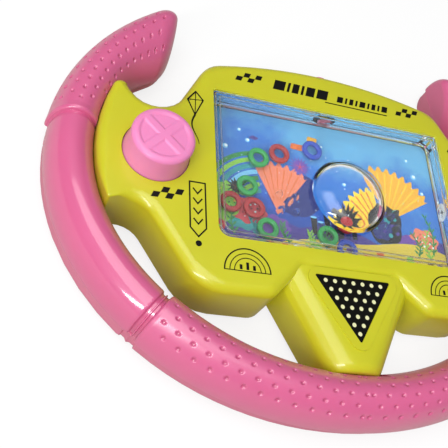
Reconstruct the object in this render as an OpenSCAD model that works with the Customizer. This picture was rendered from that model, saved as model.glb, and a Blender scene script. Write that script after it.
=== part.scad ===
// Handheld water game in the shape of a steering wheel.
// A C-shaped wheel rim in two shells carries a flat casing with a water tank in its window. Two push buttons
// squeeze bellows that blow water into the tank, and the jets throw small rings over two clusters of pegs.
// It lies on its back: the back faces -Z, the player's side faces +Z, and the open end of the rim faces +Y.

/* [Wheel rim] */
// Overall width of the wheel
wheel_w = 200; // [194:1:210]
// Height of the rim's oval as a share of its width
wheel_ratio = 0.822; // [0.78:0.005:0.9]
// Width of the rim between its inner and outer side
rim_w = 16.8; // [15:0.2:19]
// How far the casing's wings cover the rim's inner side
wing_lap = 1.75; // [1.2:0.05:2.2]
// Thickness of the whole rim
rim_t = 22; // [20:0.5:25]
// Height of the joint between the rim's back tray and its front shell
parting_z = 8; // [7:0.5:9]
// Distance between the two cut-off ends of the rim
rim_gap = 115; // [104:1:120]
// Extra width that each end of the rim gains on its inner side
end_flare = 4.4; // [2:0.2:5]
// Rounding of the rim's ends on their outer side, as a share of the rim's half width
end_roundness = 0.9; // [0.4:0.05:0.9]
// Wall of the rim's shells
rim_wall = 2; // [1.6:0.1:2.6]
// How far the grips stand out and the smooth stretches lie back from the rim's plain section
grip_rise = 0.45; // [0.2:0.05:0.8]
// How far the neck between smooth stretch and grip lies back
neck_drop = 1.3; // [0.8:0.1:1.6]
// Angle where the upper grip ends in a lip, measured round the oval from +X
lip_angle = 176.4; // [172:0.2:182]
// Angle of the neck between the smooth stretch and the lower grip
neck_angle = 224.8; // [220:0.2:229]
// Length of the neck in degrees round the oval
neck_span = 3.2; // [1.5:0.1:4]

/* [Casing] */
// Height of the casing's flat face
face_z = 21.2; // [20:0.2:23]
// Height of the casing's lower edge above the table
skirt_z = 2; // [1.6:0.1:2.4]
// Radius of the rounded edge round the casing's face
edge_r = 3.4; // [2.5:0.1:3.6]
// Wall of the casing
casing_wall = 2; // [1.6:0.1:2.4]
// Height of the top of the hump above the wheel's centre
hump_top = 46; // [43:0.5:49]
// Radius of the hump's top edge
hump_r = 173; // [150:1:200]
// Radius of the hump's shoulders
shoulder_r = 11; // [9:0.5:13]
// Radius of the bite between the hump and each wing
bite_r = 11; // [9.5:0.25:12.5]
// Height of the bottom of the bite above the wheel's centre
bite_y = 17; // [16:0.25:18.5]
// Radius of the finger hollow under each wing
hollow_r = 9.6; // [9:0.1:10]
// Distance of the finger hollow's centre inside the wing's outer edge
hollow_in = 10.2; // [9.8:0.1:11]
// Distance of the finger hollow's centre below the wheel's centre
hollow_y = 29.5; // [28.5:0.1:30.5]
// Radius of the casing's lower corners
lobe_r = 15; // [12:0.5:17]
// Distance of the casing's bottom edge below the wheel's centre
lobe_y = 47.3; // [45:0.25:49]

/* [Spoke] */
// Half width of the spoke where it leaves the casing
spoke_top_w = 26; // [24:0.5:28]
// Half width of the spoke where it meets the rim
spoke_end_w = 10; // [8.5:0.5:12]
// How far the spoke's face lies below the casing's face
spoke_drop = 1; // [0.6:0.1:1.6]
// Width of the spoke's rounded shoulders
shoulder_w = 8; // [6:0.25:8.5]
// Height of the spoke's rounded shoulders
shoulder_h = 7.5; // [5:0.25:9]
// Width of the triangular panel on the spoke
panel_w = 26.8; // [24:0.2:28]
// Length of the triangular panel as a share of the spoke's length
panel_share = 0.66; // [0.56:0.01:0.7]
// Height of the raised pad that carries the panel
pad_rise = 0.5; // [0.3:0.1:0.8]
// Width of the pad's border round the panel
pad_border = 2.6; // [2:0.1:3]

/* [Tank] */
// Distance of the window inside the wing's outer edge
window_in = 38.8; // [37:0.2:41]
// Height of the window in the casing
window_h = 57; // [53:0.2:59]
// Distance of the window's centre below the wheel's centre
window_y = 0.6; // [0:0.1:1.2]
// Radius of the window's lower corners
window_r = 4; // [3:0.25:5]
// Radius of the window's upper corners
window_top_r = 1.2; // [0.8:0.1:2.8]
// How far the tank's front lies below the casing's face
tank_inset = 0.6; // [0.2:0.1:1.2]
// Wall of the clear tank
tank_wall = 1.6; // [1.2:0.1:2]
// Depth of the water space
water_depth = 10.6; // [9.5:0.1:11]
// Radius of the dome's foot
dome_r = 14.1; // [11:0.2:15]
// Height of the dome above the tank's front
dome_h = 4.6; // [3.5:0.1:6]
// Distance of the dome's centre below the wheel's centre
dome_y = 6.4; // [3:0.1:8]

/* [Rings and pegs] */
// Outer diameter of a ring
ring_d = 7.8; // [7:0.1:8.1]
// Thickness of a ring
ring_t = 1.8; // [1.5:0.1:2.1]
// Distance of the middle of each peg cluster from the middle line
peg_x = 20; // [18:0.25:22]
// Distance of the peg clusters below the wheel's centre
peg_y = 9.2; // [7:0.2:10]
// Height of the tallest peg
peg_h = 8.4; // [7:0.2:9]

/* [Buttons] */
// Diameter of a button's top
button_d = 20.4; // [19:0.2:21]
// Diameter of a button where it passes the casing
button_foot_d = 21.6; // [20.6:0.2:22.4]
// Height of a button's top above the casing's face
button_h = 9.6; // [8:0.2:11]
// Distance of a button's centre inside the wing's outer edge
button_in = 18.7; // [18:0.1:19.5]
// Distance of a button below the wheel's centre
button_y = 2.3; // [1.8:0.1:2.8]
// How far a button travels
button_travel = 4.5; // [3:0.25:5]

/* [Fits] */
// Running gap round a button
button_gap = 0.35; // [0.25:0.05:0.5]
// Gap between the tank and the window
tank_gap = 0.3; // [0.2:0.05:0.5]
// Gap between the casing and the rim
seam_gap = 0.15; // [0.1:0.05:0.3]
// Gap under a ring that lies on the tank's floor
ring_gap = 0.3; // [0.2:0.05:0.5]

/* [Hidden] */
$fn = 64;
eps = 0.01;

// Sizes inside the casing
tank_floor = face_z - tank_inset - tank_wall - water_depth;
tank_lip = 1.2;
tank_r = window_r - 1;
card_t = 0.4;
rib_t = 1.6;
wing_bridge = 0.9;
plug_y = hump_top;
plug_z = 13;
neck_d = 9;
plug_d = 6.2;
plug_l = 2.4;
plug_head_t = 1.6;
plug_seat = 0.2;
panel_gap = 0.1;
panel_t = 0.4;
panel_r = 0.4;
pad_r = 1.2;
dome_x = 3;
jet_d = 4.4;
jet_bore = 2.4;
jet_collar = 3;
peg_foot = 1;
peg_foot_w = 9.8;
peg_foot_l = 10.8;
peg_d = 2.6;
peg_tip_d = 0.8;
peg_shift = -0.8;
flange_gap = 0.1;
flange_t = 1.5;
flange_w = 1.6;
press_gap = 0.2;
flange_z = face_z - casing_wall - flange_gap - flange_t;
jet_z = flange_z - button_travel - press_gap - jet_d / 2;
cap_r = 1.6;
stem_d = 7;
button_wall = 2;
foot_low = 0.4;
foot_high = 2.6;
soft_gap = 0.3;
ring_w = 1.9;
ring_edge = 0.5;

// Smallest radius that an outline's corner keeps when its edge is rounded
corner_rest = 0.3;
function smooth01(t) = let (c = max(0, min(1, t))) c * c * (3 - 2 * c);
function mix(a, b, t) = a + (b - a) * t;
function unit(a) = [cos(a), sin(a)];
function turn(a, b) = let (d = (b - a) % 360) d < 0 ? d + 360 : d;
function mean(v) = v * [for (i = v) 1] / len(v);

// Oval of the wheel: its centre line has the half width line_a and is flattened by wheel_ratio
rim_a = rim_w / 2;
lip_rise = 1.5 * grip_rise;
line_a = wheel_w / 2 - rim_a - grip_rise / 2;
crown_h = rim_t - parting_z - lip_rise;
end_x = rim_gap / 2;
function line_n(t) = let (n = [wheel_ratio * cos(t), sin(t)]) n / norm(n);
function line_p(t) = line_a * [cos(t), wheel_ratio * sin(t)];
function rim_point(t, u, z) = let (p = line_p(t) + line_n(t) * u) [p[0], p[1], z];

// Wing: its outer edge is an arc that follows the rim's inner side
wing_a = line_a - rim_a + wing_lap;
wing_end = 19.6;
wing_dx = wing_a * (1 - cos(wing_end));
wing_dy = wing_a * wheel_ratio * sin(wing_end);
wing_r = (wing_dx * wing_dx + wing_dy * wing_dy) / (2 * wing_dx);
wing_c = [-(wing_a - wing_r), 0];
nose_r = 2.6;
nose_angle = 157;
tail_r = 0.9;
tail_rest = 0.25;
hollow_c = [-(wing_a - hollow_in), -hollow_y];
tail_angle =
    let (
        d = hollow_c - wing_c,
        reach = wing_r - tail_r,
        apart = hollow_r + tail_r + tail_rest
    )
    180 + atan2(-d[1], -d[0]) - acos((reach * reach + d * d - apart * apart) / (2 * reach * norm(d)));
nose_c = wing_c + (wing_r - nose_r) * unit(nose_angle);
button_c = [-(wing_a - button_in), -button_y];
window_w = 2 * (wing_a - window_in);
root_y = lobe_y - 11.6;
root_lap = 1;

// Casing outline: signed circles [x, y, radius], hollow ones negative, joined by their common tangents.
// The list runs from the hump down the left side to the spoke, and the right side mirrors it.
hump_half = window_w / 2 - 3.4;
hump_angle = 90 + asin(hump_half / hump_r);
hump_c = [0, hump_top - hump_r];
shoulder_c = hump_c + (hump_r - shoulder_r) * unit(hump_angle);
bite_c = [button_c[0], bite_y + bite_r];
lobe_c = [-(window_w / 2 - 2.2), lobe_r - lobe_y];
heel_r = 6;
heel_c = [-(spoke_top_w + 4.5), heel_r - lobe_y];
notch_r = 2.5;
notch_in = 10;
notch_c = [-(spoke_top_w - notch_in), -root_y - notch_r];
function casing_circles(nose, tail, grow = 0) = [
    [hump_c[0], hump_c[1], hump_r],
    [shoulder_c[0], shoulder_c[1], shoulder_r],
    [bite_c[0], bite_c[1], -bite_r],
    let (c = wing_c + (wing_r + grow - nose) * unit(nose_angle)) [c[0], c[1], nose],
    [wing_c[0], wing_c[1], wing_r + grow],
    let (c = wing_c + (wing_r + grow - tail) * unit(tail_angle)) [c[0], c[1], tail],
    [hollow_c[0], hollow_c[1], -hollow_r],
    [lobe_c[0], lobe_c[1], lobe_r],
    [heel_c[0], heel_c[1], heel_r],
    [notch_c[0], notch_c[1], -notch_r]
];

// Direction of the outward normal on the common tangent from circle a to circle b
function tangent_normal(a, b) =
    let (d = [b[0] - a[0], b[1] - a[1]])
    atan2(d[1], d[0]) - acos(max(-1, min(1, (a[2] - b[2]) / norm(d))));

// Edge radius that a corner allows
function edge_at(c) = c[2] < 0 ? edge_r : min(edge_r, c[2] - corner_rest);

// Outline points [x, y, nx, ny, edge radius] of the left side, from the top of the hump to the spoke
function half_outline(cs, step) = [
    for (i = [0:len(cs) - 1])
        let (
            c = cs[i],
            a_in = i == 0 ? 90 : tangent_normal(cs[i - 1], c),
            a_out = i == len(cs) - 1 ? 270 : tangent_normal(c, cs[i + 1]),
            sweep = c[2] > 0 ? turn(a_in, a_out) : -turn(a_out, a_in),
            n = max(1, ceil(abs(sweep) / step), ceil(abs(sweep * c[2]) * PI / 180 / 7)),
            e_own = edge_at(c),
            e_in = i == 0 ? e_own : min(e_own, edge_at(cs[i - 1])),
            e_out = i == len(cs) - 1 ? e_own : min(e_own, edge_at(cs[i + 1]))
        )
        for (k = [0:n])
            let (
                t = k / n,
                a = a_in + sweep * t,
                e = min(mix(e_in, e_own, smooth01(3 * t)), mix(e_out, e_own, smooth01(3 * (1 - t))))
            )
            if (i == 0 || k > 0 || norm([cs[i - 1][0], cs[i - 1][1]] + cs[i - 1][2] * unit(a_in)
                - [c[0], c[1]] - c[2] * unit(a_in)) > 0.05)
                [c[0] + c[2] * cos(a), c[1] + c[2] * sin(a), cos(a), sin(a), e]
];
function mirrored(pts) = [for (i = [len(pts) - 1:-1:0]) let (p = pts[i])
    if (abs(p[0]) > 0.01) [-p[0], p[1], -p[2], p[3], p[4]]];
function outline(nose, tail, step, grow = 0) =
    let (h = half_outline(casing_circles(nose, tail, grow), step)) concat(h, mirrored(h));
function inset_xy(pts, d) = [for (p = pts) [p[0] - p[2] * d, p[1] - p[3] * d]];

edge_steps = 3;
outline_step = 15;
casing_pts = outline(nose_r, tail_r, outline_step);

// Solid with stacked rings of equally many points; its ends are flat faces, or fans round the ring's middle
module skin(rings, fans = false) {
    n = len(rings[0]);
    m = len(rings);
    sides = [for (j = [0:m - 2], i = [0:n - 1]) let (k = (i + 1) % n)
        each [[j * n + k, j * n + i, (j + 1) * n + k], [(j + 1) * n + k, j * n + i, (j + 1) * n + i]]];
    first_cap = fans ? [for (i = [0:n - 1]) [i, (i + 1) % n, m * n]] : [[for (i = [0:n - 1]) i]];
    last_cap = fans ? [for (i = [0:n - 1]) [(m - 1) * n + (i + 1) % n, (m - 1) * n + i, m * n + 1]]
        : [[for (i = [n - 1:-1:0]) (m - 1) * n + i]];
    middles = fans ? [mid(rings[0]), mid(rings[m - 1])] : [];
    points = concat([for (r = rings) each r], middles);
    polyhedron(points, concat(sides, first_cap, last_cap), convexity = 10);
}
function mid(ring) = [for (i = [0:2]) mean([for (p = ring) p[i]])];

// Angle round the oval at which the side at distance u from the centre line reaches the cut-off end
end_skew = 1.07;
function end_angle(u) = 180 - acos(end_x / (line_a + end_skew * u));
end_mid = end_angle(0);
shear_from = 165;
flare_from = 157;
end_slope = line_a * sin(end_mid) * PI / 180;
function shear(t) = smooth01((shear_from - t) / (shear_from - end_mid));
function flare(t) = end_flare * smooth01((flare_from - t) / (flare_from - end_mid));

// Least distance inside the centre line, which leaves room for a wing or for the spoke
seat_rest = 0.6;
seat_top = nose_c[1] + nose_r + seat_rest + 1;
seat_low = abs(wing_c[1] + (wing_r - tail_r) * sin(tail_angle)) + tail_r + seat_rest;
spoke_lap = 1.5;
spoke_seat = 1.6;
spoke_y = line_a * wheel_ratio - rim_a + spoke_lap;
function wing_limit(t) =
    let (q = line_p(t) - wing_c, b = q * line_n(t), r = wing_r + seam_gap)
    -b + sqrt(max(0, b * b - q * q + r * r));
function spoke_limit(t) = (-spoke_y - seam_gap - line_p(t)[1]) / line_n(t)[1];
function seat_y(t) = line_p(t)[1] - line_n(t)[1] * (rim_a - wing_lap);
function seat_angle(y, low = 130, high = 230, n = 24) =
    let (m = (low + high) / 2)
    n == 0 ? m : seat_y(m) > y ? seat_angle(y, m, high, n - 1) : seat_angle(y, low, m, n - 1);
wing_from = seat_angle(seat_top);
wing_to = seat_angle(-seat_low);
spoke_from = 270 - asin((spoke_end_w + spoke_seat) / line_a);
free = -100;
function seat_limit(t) =
    t > spoke_from ? spoke_limit(t) : t > wing_from && t < wing_to ? wing_limit(t) : free;

// Stations down the left half of the rim: [angle, rise of the section, end rounding, 1 where it is hollow]
neck_half = neck_span / 2;
neck_ridge = neck_span / 5;
end_steps = 5;
tray_a = rim_a - neck_drop * 0.4;
end_round = end_roundness * tray_a;
end_inner = 0.35;
end_top = 0.6;
end_wall_t = end_mid + (end_round + 0.4) / end_slope;
side_step = 0.15;
stations = concat(
    [for (k = [0:2]) [mix(270, spoke_from + side_step, k / 2), grip_rise, 0, 1]],
    [for (k = [0:10]) [mix(spoke_from - side_step, neck_angle + neck_half + 1, k / 10), grip_rise, 0, 1]],
    [
        [neck_angle + neck_half + 0.4, grip_rise * 0.6, 0, 1],
        [neck_angle + neck_half + 0.15, 0, 0, 1],
        [neck_angle + neck_half, -neck_drop, 0, 1],
        [neck_angle + neck_ridge, -neck_drop, 0, 1],
        [neck_angle, -neck_drop * 0.5, 0, 1],
        [neck_angle - neck_ridge, -neck_drop, 0, 1],
        [neck_angle - neck_half, -neck_drop, 0, 1],
        [neck_angle - neck_half - 0.1, -grip_rise * 1.7, 0, 1],
        [neck_angle - neck_half - 0.8, -grip_rise, 0, 1]
    ],
    [for (k = [1:4]) [mix(neck_angle - neck_half, wing_to + side_step, k / 4), -grip_rise, 0, 1]],
    [for (k = [0:6]) [mix(wing_to - side_step, lip_angle + 3, k / 6), -grip_rise, 0, 1]],
    [
        [lip_angle + 1.2, -grip_rise, 0, 1],
        [lip_angle + 0.2, -grip_rise * 1.7, 0, 1],
        [lip_angle, grip_rise, 0, 1],
        [lip_angle - 0.8, lip_rise, 0, 1],
        [lip_angle - 1.8, grip_rise, 0, 1]
    ],
    [for (k = [1:4]) [mix(lip_angle - 1.8, wing_from + side_step, k / 4), grip_rise, 0, 1]],
    [for (k = [0:7]) [mix(wing_from - side_step, end_wall_t, k / 7), grip_rise, 0, 1]],
    [[end_wall_t - 0.05, grip_rise, 0, 0]],
    [for (k = [0:end_steps]) let (a = 90 * k / end_steps)
        [end_mid + end_round * (1 - sin(a)) / end_slope, grip_rise, end_round * (1 - cos(a)), 0]]
);

// Ring of the rim at an angle: section points [u, z] are flared, limited and moved round the oval
function rim_ring(t, section) = [
    for (q = section)
        let (
            u = q[0] < 0 ? max(seat_limit(t), q[0] * (1 + flare(t) / rim_a)) : q[0],
            p = rim_point(t + shear(t) * (end_angle(u) - end_mid), u, q[1])
        )
        [t < flare_from ? min(p[0], -end_x) : p[0], p[1], p[2]]
];
function mirror_ring(r) = [for (p = r) [-p[0], p[1], p[2]]];
module rim_sweep(half) {
    right = [for (i = [len(half) - 1:-1:1]) mirror_ring(half[i])];
    skin(concat(right, half), fans = true);
}

// Half width of the room inside both shells
room_a = rim_a - max(neck_drop, wing_lap) - rim_wall;
foot_rest = 0.5;

// Section of the front shell: its outer crown and, back again, the hollow (flat where the rim is solid)
crown_steps = 10;
hollow_steps = 4;
function front_section(rise, inset, open) =
    let (
        a = [rim_a + rise - inset, rim_a + rise - inset * end_inner],
        b = [for (side = a) min(room_a, side - foot_rest)],
        h = crown_h + rise - inset * end_top,
        g = open * (crown_h - neck_drop - rim_wall)
    )
    concat(
        [for (k = [0:crown_steps]) let (c = 180 * k / crown_steps)
            [a[c > 90 ? 1 : 0] * cos(c), parting_z + h * sin(c)]],
        [for (k = [0:hollow_steps]) let (c = 180 - 180 * k / hollow_steps)
            [b[c > 90 ? 1 : 0] * cos(c), parting_z + g * sin(c)]]
    );

// Section of the back tray: straight sides with rounded lower edges, and the hollow above its floor
tray_r = 3;
tray_steps = 3;
function back_section(rise, inset, open) =
    let (
        side = min(tray_a, rim_a + rise),
        a = side - inset,
        a_in = side - inset * end_inner,
        b = min(room_a, a - min(foot_rest, a / 2)),
        b_in = min(room_a, a_in - foot_rest),
        r = min(tray_r, 0.45 * (a + a_in)),
        h = open * (parting_z - rim_wall)
    )
    concat(
        [[-a_in, parting_z]],
        [for (k = [0:tray_steps]) let (c = 90 * k / tray_steps) [r - a_in - r * cos(c), r - r * sin(c)]],
        [for (k = [0:tray_steps]) let (c = 90 - 90 * k / tray_steps) [a - r + r * cos(c), r - r * sin(c)]],
        [[a, parting_z], [b, parting_z], [b, parting_z - h], [-b_in, parting_z - h], [-b_in, parting_z]]
    );

// Middle of the whole toy from front to back, moved to y = 0
rim_ys = [for (s = stations) max([for (p = rim_ring(s[0], front_section(s[1], s[2], 0))) p[1]])];
low_y = -(line_a * wheel_ratio + rim_a + grip_rise);
origin_y = -(max(rim_ys) + low_y) / 2;
module placed() {
    translate([0, origin_y, 0]) children();
}

// Where the rim's screws stand
screw_angles = [148, 196, 246];
module at_rim_screws() {
    for (t = screw_angles) {
        p = rim_point(t, 0, 0);
        translate(p) rotate(t) children();
        translate([-p[0], p[1], 0]) rotate(180 - t) children();
    }
}
casing_screw_at = [[window_w / 2 - 5.4, hump_top - 11.6], [window_w / 2 - 0.9, 9.1 - lobe_y]];
module at_casing_screws() {
    for (p = casing_screw_at, side = [-1, 1]) translate([side * p[0], p[1], 0]) children();
}
screw_d = 2.6;
screw_head_d = 5.4;
screw_head_h = 1;
screw_l = 10;
screw_slot = 0.6;
screw_gap = 0.05;
boss_d = 6.4;
boss_fn = 14;
module screw_hole(l) {
    translate([0, 0, -eps])
        cylinder(d = screw_head_d + 4 * screw_gap, h = screw_head_h + screw_gap + eps, $fn = boss_fn);
    cylinder(d = screw_d + 2 * screw_gap, h = l, $fn = boss_fn);
}
module screw() {
    difference() {
        union() {
            cylinder(d = screw_head_d, h = screw_head_h);
            cylinder(d = screw_d, h = screw_l);
        }
        for (a = [0, 90]) rotate(a) translate([-0.3 * screw_head_d, -screw_slot / 2, -eps])
            cube([0.6 * screw_head_d, screw_slot, screw_slot + eps]);
    }
}

module rim_front() {
    post_h = parting_z + crown_h - neck_drop - 2 * rim_wall + 1;
    color([0.90, 0.47, 0.64]) placed() resize([0, 0, rim_t - rim_wall]) difference() {
        union() {
            rim_sweep([for (s = stations) rim_ring(s[0], front_section(s[1], s[2], s[3]))]);
            at_rim_screws() translate([0, 0, rim_wall]) cylinder(d = boss_d, h = post_h, $fn = boss_fn);
        }
        at_rim_screws() cylinder(d = screw_d + 2 * screw_gap, h = screw_l + 1, $fn = boss_fn);
    }
}

// Back shell: the rim's tray and, inside it, the cover under the casing
cover_z = 0.8;
cover_top = 4;
cover_in = 0.8;
cover_gap = 0.25;
cover_rest = 1;
spoke_straight = 2;
function spoke_half(y) =
    mix(spoke_top_w, spoke_end_w, max(0, (-y - root_y) / (spoke_y - spoke_straight - root_y)));
module outline_plan(d, bridge = 0) {
    offset(delta = d) polygon([for (p = outline(nose_r, tail_r, outline_step, bridge)) [p[0], p[1]]]);
}
module spoke_plan(inset, high, low) {
    ys = [high, min(high, -root_y), max(low, spoke_straight - spoke_y), low];
    polygon(concat(
        [for (y = ys) [inset - spoke_half(y), y]],
        [for (i = [3:-1:0]) [spoke_half(ys[i]) - inset, ys[i]]]
    ));
}
module cover_low_plan() {
    outline_plan(-cover_in, wing_bridge + cover_in);
    spoke_plan(cover_in, root_lap - root_y, -spoke_y - spoke_lap);
}
module cover_high_plan() {
    inner = casing_wall + cover_gap;
    difference() {
        offset(delta = cover_rest) outline_plan(-inner - cover_rest);
        spoke_plan(-cover_gap, root_lap + cover_gap - root_y, -spoke_y);
    }
    difference() {
        spoke_plan(inner, -root_y, inner + 1 - spoke_y);
        outline_plan(cover_gap);
    }
}
rib_top = tank_floor - tank_wall - card_t;
module rib_plan() {
    translate([0, -window_y]) difference() {
        square([window_w, window_h], center = true);
        square([window_w - 2 * rib_t, window_h - 2 * rib_t], center = true);
    }
}
module back_shell() {
    cover_low = (cover_z + skirt_z) / 2;
    color([0.78, 0.42, 0.53]) placed() resize([0, 0, parting_z]) difference() {
        union() {
            rim_sweep([for (s = stations) rim_ring(s[0], back_section(s[1], s[2], s[3]))]);
            translate([0, 0, cover_z]) linear_extrude(skirt_z - cover_z) cover_low_plan();
            translate([0, 0, cover_low]) linear_extrude(cover_top - cover_low) cover_high_plan();
            translate([0, 0, cover_low]) linear_extrude(rib_top - cover_low) rib_plan();
        }
        at_rim_screws() screw_hole(rim_wall + 1);
        at_casing_screws() translate([0, 0, cover_z]) screw_hole(cover_top);
    }
}

// Cup with the casing's outline: hollow below, with a rounded edge round its closed face
module cup(pts, z0, z1, wall) {
    inner = inset_xy(pts, wall);
    skin(concat(
        [[for (p = inner) [p[0], p[1], z1 - wall]]],
        [[for (p = inner) [p[0], p[1], z0]]],
        [[for (p = pts) [p[0], p[1], z0]]],
        [for (k = [0:edge_steps]) let (a = 90 * k / edge_steps)
            [for (p = pts) let (d = p[4] * (1 - cos(a)))
                [p[0] - p[2] * d, p[1] - p[3] * d, z1 - p[4] * (1 - sin(a))]]]
    ));
}
module rounded_rect(w, h, r) {
    square([w - 2 * r, h], center = true);
    square([w, h - 2 * r], center = true);
    for (x = [-1, 1], y = [-1, 1]) translate([x * (w / 2 - r), y * (h / 2 - r)]) circle(r);
}
module window_plan(gap) {
    w = window_w - 2 * gap;
    h = window_h - 2 * gap;
    r = window_r - gap;
    rounded_rect(w, h, r);
    translate([0, r]) rounded_rect(w, h - 2 * r, window_top_r - gap);
}
module both_sides() {
    children();
    mirror([1, 0, 0]) children();
}

// Spoke: an open channel with rounded shoulders that drops to the rim at its end
spoke_z = face_z - spoke_drop;
shoulder_steps = 5;
function spoke_ring(y, fall, thick) =
    let (w = spoke_half(y), z = spoke_z - fall, u = w - thick, c = w - shoulder_w, h = shoulder_h - fall)
    concat(
        [[w, y, skirt_z]],
        [for (k = [0:shoulder_steps]) let (a = 90 * k / shoulder_steps)
            [c + shoulder_w * cos(a), y, z - h * (1 - sin(a))]],
        [for (k = [0:shoulder_steps]) let (a = 90 - 90 * k / shoulder_steps)
            [-c - shoulder_w * cos(a), y, z - h * (1 - sin(a))]],
        [[-w, y, skirt_z], [-u, y, skirt_z], [-u, y, z - h - thick], [-c, y, z - thick], [c, y, z - thick],
            [u, y, z - h - thick], [u, y, skirt_z]]
    );
spoke_fall = 2.4;
spoke_nose = 3.2;
module spoke() {
    skin(concat(
        [for (y = [root_lap - root_y, -root_y, spoke_nose - spoke_y]) spoke_ring(y, 0, casing_wall)],
        [for (k = [1:4]) let (a = 22.5 * k)
            spoke_ring(spoke_nose * (1 - sin(a)) - spoke_y, spoke_fall * (1 - cos(a)), casing_wall)]
    ));
}
panel_in = 2;
panel_l = panel_share * (spoke_y - root_y);
panel_top = -(root_y + panel_in);
module triangle_plan(grow, r) {
    w = panel_w / 2;
    hull() {
        for (x = [-1, 1]) translate([x * (w - r), panel_top - r]) circle(r + grow);
        translate([0, panel_top - panel_l + r]) circle(r + grow);
    }
}

module front_casing() {
    cut = casing_wall + 2;
    color([0.83, 0.83, 0.21]) placed() resize([0, 0, face_z - skirt_z]) difference() {
        union() {
            cup(casing_pts, skirt_z, face_z, casing_wall);
            spoke();
            translate([0, 0, spoke_z - 1]) linear_extrude(1 + pad_rise) difference() {
                triangle_plan(pad_border, pad_r);
                triangle_plan(panel_gap, panel_r);
            }
            at_casing_screws() translate([0, 0, cover_top])
                cylinder(d = boss_d, h = face_z - cover_top - 1, $fn = boss_fn);
        }
        translate([0, -window_y, face_z + 1 - cut]) linear_extrude(cut) window_plan(0);
        both_sides() translate([button_c[0], button_c[1], face_z + 1 - cut])
            cylinder(d = button_foot_d + 2 * button_gap, h = cut);
        at_casing_screws() translate([0, 0, cover_top - 1])
            cylinder(d = screw_d + 2 * screw_gap, h = screw_l, $fn = boss_fn);
        translate([0, plug_y - 2 * casing_wall, plug_z]) rotate([-90, 0, 0])
            cylinder(d = neck_d + 2 * tank_gap, h = 4 * casing_wall, $fn = 32);
    }
}

module spoke_panel() {
    color([0.90, 0.90, 0.88]) placed() translate([0, 0, spoke_z]) linear_extrude(panel_t)
        triangle_plan(0, panel_r);
}

// Tank: a clear box whose front stands in the window and whose lip lies behind the casing
module tank_front() {
    w = window_w + 2 * tank_lip;
    h = window_h + 2 * tank_lip;
    top = face_z - tank_inset;
    neck_from = h / 2 - window_y - tank_wall / 2;
    color([0.70, 0.85, 0.92, 0.35]) placed() difference() {
        union() {
            translate([0, -window_y, tank_floor]) linear_extrude(face_z - casing_wall - tank_floor)
                rounded_rect(w, h, window_r);
            translate([0, -window_y, face_z - 2 * casing_wall])
                linear_extrude(2 * casing_wall - tank_inset) window_plan(tank_gap);
            dome(top, dome_r, dome_h);
            translate([0, neck_from, plug_z]) rotate([-90, 0, 0])
                cylinder(d = neck_d, h = plug_y + plug_seat - neck_from);
        }
        translate([0, -window_y, tank_floor - 1]) linear_extrude(water_depth + 1)
            rounded_rect(w - 2 * tank_wall, h - 2 * tank_wall, tank_r);
        dome(top - tank_wall, dome_r - tank_wall, dome_h);
        translate([0, neck_from - 2 * tank_wall, plug_z]) rotate([-90, 0, 0])
            cylinder(d = plug_d, h = plug_y);
        both_sides() translate([-w / 2 - tank_wall, -button_y, jet_z]) rotate([0, 90, 0])
            cylinder(d = jet_bore, h = 3 * tank_wall);
    }
}
// Dome with a steep side and a flatter top
dome_steps = 10;
module dome(z, r, h) {
    translate([dome_x, -dome_y, z]) rotate_extrude() polygon(concat(
        [[0, -eps], [r, -eps]],
        [for (k = [0:dome_steps]) let (a = 90 * k / dome_steps) [r * pow(cos(a), 0.6), h * pow(sin(a), 0.8)]]
    ));
}
module tank_back() {
    color([0.85, 0.92, 0.96]) placed() translate([0, -window_y, tank_floor - tank_wall])
        linear_extrude(tank_wall) rounded_rect(window_w + 2 * tank_lip, window_h + 2 * tank_lip, window_r);
}
module picture_card() {
    color([0.25, 0.50, 0.75]) placed() translate([0, -window_y, tank_floor - tank_wall - card_t])
        linear_extrude(card_t) rounded_rect(window_w + 2 * tank_lip, window_h + 2 * tank_lip, window_r);
}

// Peg clusters: clear pegs with pointed tops on a thin foot
peg_at = [[0, 0, 1], [-2.9, 2.9, 0.8], [2.9, 2.6, 0.8], [-2.6, -3, 0.72], [3, -3.1, 0.72]];
module pegs() {
    placed() translate([dome_x + peg_shift, -peg_y, tank_floor]) {
        translate([-peg_foot_w / 2, -peg_foot_l / 2, 0]) cube([peg_foot_w, peg_foot_l, peg_foot]);
        for (p = peg_at) translate([p[0], p[1], 0]) {
            cylinder(d = peg_d, h = peg_h * p[2] - peg_d);
            translate([0, 0, peg_h * p[2] - peg_d]) cylinder(d1 = peg_d, d2 = peg_tip_d, h = peg_d);
        }
    }
}
module peg_cluster_left() {
    color([0.80, 0.90, 0.95, 0.5]) translate([-peg_x, 0, 0]) pegs();
}
module peg_cluster_right() {
    color([0.80, 0.90, 0.95, 0.5]) translate([peg_x, 0, 0]) pegs();
}
module fill_plug() {
    color([0.90, 0.47, 0.64]) placed() translate([0, plug_y + plug_seat, plug_z]) rotate([-90, 0, 0]) {
        cylinder(d = neck_d, h = plug_head_t);
        translate([0, 0, -plug_l]) cylinder(d = plug_d, h = plug_l + plug_head_t / 2);
    }
}

// Buttons: a round cap with a flared foot and a flange that stays under the casing's face
module button() {
    top = face_z + button_h;
    low = flange_z;
    r = button_d / 2;
    foot = button_foot_d / 2;
    color([0.90, 0.50, 0.66]) placed() translate([button_c[0], button_c[1], 0]) rotate_extrude()
        polygon(concat(
            [[0, top]],
            [for (k = [0:8]) let (a = 90 - 90 * k / 8)
                [r - cap_r + cap_r * cos(a), top - cap_r + cap_r * sin(a)]],
            [[r, face_z + foot_high], [foot, face_z + foot_low], [foot, low + flange_t],
                [foot + flange_w, low + flange_t], [foot + flange_w, low], [foot - button_wall, low],
                [foot - button_wall, face_z + foot_low], [r - button_wall, face_z + foot_high],
                [r - button_wall, top - button_wall], [stem_d / 2, top - button_wall],
                [stem_d / 2, low], [0, low]]
        ));
}
module button_left() {
    button();
}
module button_right() {
    mirror([1, 0, 0]) button();
}

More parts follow.
